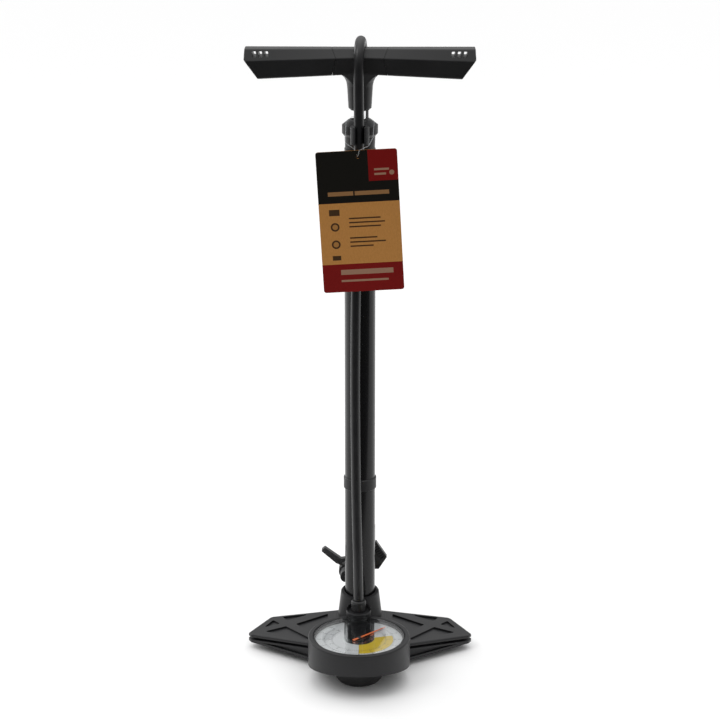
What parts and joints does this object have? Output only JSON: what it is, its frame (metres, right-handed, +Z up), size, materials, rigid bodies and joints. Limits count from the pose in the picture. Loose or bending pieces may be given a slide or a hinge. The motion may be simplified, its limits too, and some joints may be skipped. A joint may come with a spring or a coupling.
{
  "type": "floor bike pump",
  "caption": "Upright floor pump for bicycle tyres: T-handle, black barrel, winged base with a round dial gauge, hose over the handle to a lever head behind.",
  "frame": {"origin": "on the floor, under the middle of the pump's box without its hose and head", "axes": "+Z up along the barrel, -Y toward the user's side where the gauge is, +X to the user's right as they face the gauge"},
  "size_m": [0.2264, 0.175, 0.6229],
  "materials": {
    "moulding": "satin black moulding",
    "island_black": "gloss black",
    "barrel_paint": "gloss black paint",
    "grip_plastic": "satin black",
    "head_plastic": "satin black",
    "hose_rubber": "smooth satin black",
    "soft_rubber": "matte",
    "rod_chrome": "polished",
    "bright_trim": "bright",
    "steel": "plain",
    "brass": "turned",
    "dial_face": "silver print with a yellow sector",
    "needle_orange": "orange-red",
    "hub_silver": "polished",
    "window": "clear",
    "bearing": "natural",
    "card": "kraft card with a black top and a red foot",
    "clear_thread": "clear"
  },
  "bodies": {
    "pump_body": {"base_body": "moulding", "gauge_housing": "moulding", "gauge_dial": "dial_face", "gauge_bridge": "island_black", "gauge_trim": "bright_trim", "gauge_lens": "window", "gauge_block": "brass", "bourdon_tube": "brass", "front_foot": "soft_rubber", "wing_pads": "soft_rubber", "foot_screws": "steel", "hose_flange": "moulding", "hose_barb": "brass", "hose_nut": "head_plastic", "barrel_tube": "barrel_paint", "barrel_plug": "moulding", "barrel_oring": "soft_rubber", "check_spring": "steel", "barrel_cap": "moulding", "cap_bush": "bearing", "rod_wiper": "soft_rubber", "hose_band": "moulding", "head_body": "head_plastic", "lever_pin": "steel", "head_gasket": "soft_rubber", "valve_collar": "head_plastic", "thumb_grip": "head_plastic", "hose_ferrule": "head_plastic", "hose": "hose_rubber", "hang_tag": "card", "tag_loop": "clear_thread"},
    "piston": {"piston_head": "bearing", "piston_seal": "soft_rubber"},
    "handle": {"rod": "rod_chrome", "rod_nut": "steel", "rod_bumper": "soft_rubber", "handle_core": "grip_plastic", "handle_screw": "steel", "grip_left": "grip_plastic", "grip_right": "grip_plastic"},
    "needle": {"gauge_needle": "needle_orange", "needle_hub": "hub_silver"},
    "check_valve": {"check_ball": "steel"},
    "lever": {"lock_lever": "head_plastic"},
    "plunger": {"head_plunger": "bearing"}
  },
  "joints": [
    {"name": "rod_slide", "type": "slide", "parent": "pump_body", "child": "piston", "axis": [0, 0, 1], "range_m": [0, 0.42], "deforming": ["hose"]},
    {"name": "handle_turn", "type": "hinge", "parent": "piston", "child": "handle", "pos_m": [0, 0.04972, 0.0455], "axis": [0, 0, 1], "range_deg": [-15, 15]},
    {"name": "needle_turn", "type": "hinge", "parent": "pump_body", "child": "needle", "pos_m": [0, -0.02928, 0.044], "axis": [0, 0, 1], "range_deg": [-270, 0]},
    {"name": "ball_drop", "type": "slide", "parent": "pump_body", "child": "check_valve", "axis": [0, 0, -1], "range_m": [0, 0.002], "stiffness_N_per_m": 5, "springref_m": -0.004, "deforming": ["check_spring"]},
    {"name": "lever_turn", "type": "hinge", "parent": "pump_body", "child": "lever", "pos_m": [-0.008, 0.07522, 0.081], "axis": [0, 1, 0], "range_deg": [0, 45]},
    {"name": "plunger_push", "type": "slide", "parent": "pump_body", "child": "plunger", "axis": [0, 1, 0], "range_m": [0, 0.0015]}
  ],
  "couplings": [
    {"joint": "plunger_push", "follows": "lever_turn", "m_per_rad": 0.0019099}
  ]
}
